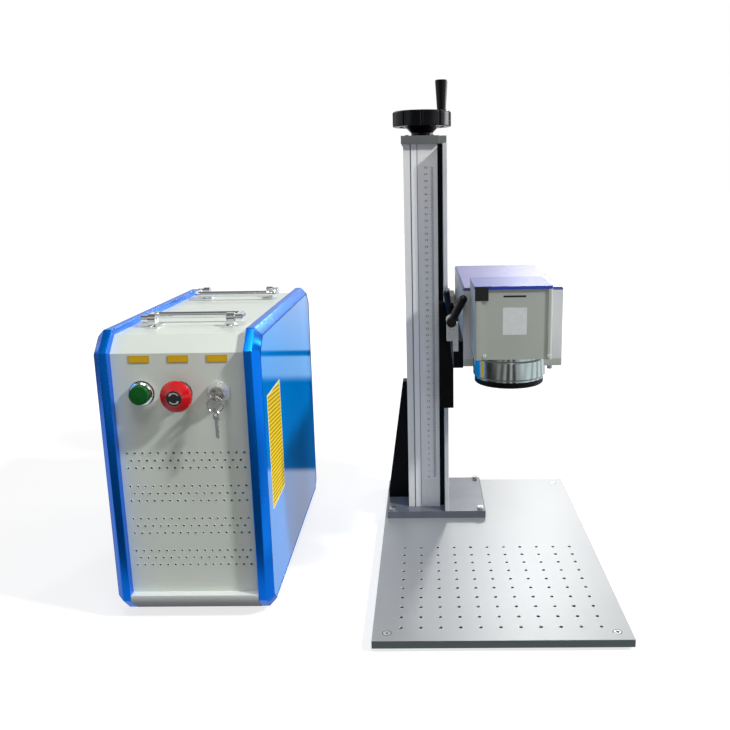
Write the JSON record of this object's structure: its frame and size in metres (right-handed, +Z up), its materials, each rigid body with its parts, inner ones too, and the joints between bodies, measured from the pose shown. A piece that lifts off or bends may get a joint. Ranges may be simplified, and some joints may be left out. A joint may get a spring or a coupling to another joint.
{
  "type": "laser marking machine",
  "caption": "Desktop laser marking machine: blue control cabinet beside a column stand whose handwheel lifts a galvo marking head over a drilled worktable.",
  "frame": {"origin": "centre of the overall box, on the floor under the feet", "axes": "+Z up, +X to the operator's right, the operator stands on the -Y side"},
  "size_m": [0.66, 0.54, 0.713],
  "materials": {
    "blue_frame": "gloss",
    "blue_panel": "high gloss",
    "grey_paint": "satin",
    "tray_grey": "satin",
    "black_rubber": "matt",
    "chrome": "polished",
    "green_plastic": "gloss",
    "red_plastic": "gloss",
    "dark_plastic": "matt",
    "key_steel": "satin",
    "legend_gold": "satin",
    "circuit_green": "matt",
    "bare_aluminium": "brushed",
    "black_aluminium": "anodised",
    "grey_metal": "cast",
    "ground_steel": "ground",
    "blue_lid": "gloss",
    "bronze": "machined",
    "scale_white": "matt",
    "mirror": "polished"
  },
  "bodies": {
    "frame": {"left_cheek": "blue_frame", "right_cheek": "blue_frame", "side_panels": "blue_panel", "front_top_cover": "grey_paint", "base_tray": "tray_grey", "rear_panel": "grey_paint", "cabinet_feet": "black_rubber", "handle_saddles": "chrome", "start_bezel": "chrome", "estop_collar": "dark_plastic", "key_switch_barrel": "chrome", "switch_blocks": "dark_plastic", "legend_plates": "legend_gold", "power_inlet": "dark_plastic", "fan_frame": "dark_plastic", "cabinet_gland": "dark_plastic", "control_sockets": "ground_steel", "laser_source": "bare_aluminium", "power_supply": "bare_aluminium", "control_board": "circuit_green", "worktable_plate": "bare_aluminium", "table_feet": "black_rubber", "table_screws": "ground_steel", "column_flange": "grey_metal", "column_extrusion": "bare_aluminium", "column_gusset": "black_aluminium", "height_scale": "scale_white", "guide_rails": "ground_steel", "rail_spacers": "black_aluminium", "column_cap": "grey_metal", "screw_bearings": "ground_steel"},
    "carriage_unit": {"carriage": "black_aluminium", "lead_nut": "bronze", "head_bracket": "black_aluminium", "clamp_block": "bare_aluminium", "head_base_plate": "bare_aluminium", "head_cover": "bare_aluminium", "head_lid": "blue_lid", "head_end_plates": "bare_aluminium", "galvo_case": "bare_aluminium", "galvo_lid": "blue_lid", "galvo_motors": "ground_steel", "scan_lens": "chrome", "lens_ring": "black_aluminium"},
    "screw_drive": {"lead_screw": "ground_steel", "handwheel": "dark_plastic"},
    "crank": {"crank_grip": "dark_plastic"},
    "carriage_lever": {"carriage_lock_lever": "dark_plastic"},
    "head_lever": {"head_lock_lever": "dark_plastic"},
    "stop_stem": {"estop_stem": "dark_plastic"},
    "stop_cap": {"estop_cap": "red_plastic"},
    "start_button": {"start_cap": "green_plastic"},
    "key": {"key_plug": "key_steel"},
    "spare_key": {"key_ring": "key_steel"},
    "rocker": {"power_rocker": "dark_plastic"},
    "fan": {"fan_rotor": "dark_plastic"},
    "front_bow": {"front_handle": "chrome"},
    "rear_bow": {"rear_handle": "chrome"},
    "mirror_x": {"galvo_mirror_x": "mirror"},
    "mirror_y": {"galvo_mirror_y": "mirror"}
  },
  "joints": [
    {"name": "carriage_lift", "type": "slide", "parent": "frame", "child": "carriage_unit", "axis": [0, 0, 1], "range_m": [-0.175, 0.23]},
    {"name": "screw_turn", "type": "hinge", "parent": "frame", "child": "screw_drive", "pos_m": [0.0785, 0.171, 0.65], "axis": [0, 0, 1], "range_deg": [-10400, 7900]},
    {"name": "crank_spin", "type": "hinge", "parent": "screw_drive", "child": "crank", "pos_m": [0.1095, 0.171, 0.69], "axis": [0, 0, 1], "continuous": true},
    {"name": "carriage_lock", "type": "hinge", "parent": "carriage_unit", "child": "carriage_lever", "pos_m": [0.11797, 0.082, 0.358], "axis": [0, 1, 0], "range_deg": [-45, 12]},
    {"name": "head_lock", "type": "hinge", "parent": "carriage_unit", "child": "head_lever", "pos_m": [0.11489, -0.082, 0.37555], "axis": [0, 1, 0], "range_deg": [-60, 2]},
    {"name": "stop_push", "type": "slide", "parent": "frame", "child": "stop_stem", "axis": [0, 1, 0], "range_m": [0, 0.004]},
    {"name": "stop_twist", "type": "hinge", "parent": "stop_stem", "child": "stop_cap", "pos_m": [-0.2265, -0.2, 0.306], "axis": [0, 1, 0], "range_deg": [0, 45]},
    {"name": "start_push", "type": "slide", "parent": "frame", "child": "start_button", "axis": [0, 1, 0], "range_m": [0, 0.003], "stiffness_N_per_m": 400, "springref_m": -0.002},
    {"name": "key_turn", "type": "hinge", "parent": "frame", "child": "key", "pos_m": [-0.178, -0.19, 0.306], "axis": [0, 1, 0], "range_deg": [0, 90]},
    {"name": "key_ring_swing", "type": "hinge", "parent": "frame", "child": "spare_key", "pos_m": [-0.178, -0.2015, 0.306], "axis": [-1, 0, 0], "range_deg": [-12, 35]},
    {"name": "rocker_tip", "type": "hinge", "parent": "frame", "child": "rocker", "pos_m": [-0.2265, 0.236, 0.1155], "axis": [1, 0, 0], "range_deg": [-20, 0]},
    {"name": "fan_spin", "type": "hinge", "parent": "frame", "child": "fan", "pos_m": [-0.2265, 0.229, 0.258], "axis": [0, 1, 0], "continuous": true},
    {"name": "front_handle_swing", "type": "hinge", "parent": "frame", "child": "front_bow", "pos_m": [-0.2265, -0.107, 0.388], "axis": [1, 0, 0], "range_deg": [0, 90]},
    {"name": "rear_handle_swing", "type": "hinge", "parent": "frame", "child": "rear_bow", "pos_m": [-0.2265, 0.166, 0.388], "axis": [-1, 0, 0], "range_deg": [0, 90]},
    {"name": "mirror_x_scan", "type": "hinge", "parent": "carriage_unit", "child": "mirror_x", "pos_m": [0.20745, -0.131, 0.37758], "axis": [0, 0, 1], "range_deg": [-12, 12]},
    {"name": "mirror_y_scan", "type": "hinge", "parent": "carriage_unit", "child": "mirror_y", "pos_m": [0.1875, -0.131, 0.37758], "axis": [0, 1, 0], "range_deg": [-12, 12]}
  ],
  "couplings": [
    {"joint": "screw_turn", "follows": "carriage_lift", "rad_per_m": -785.4}
  ]
}
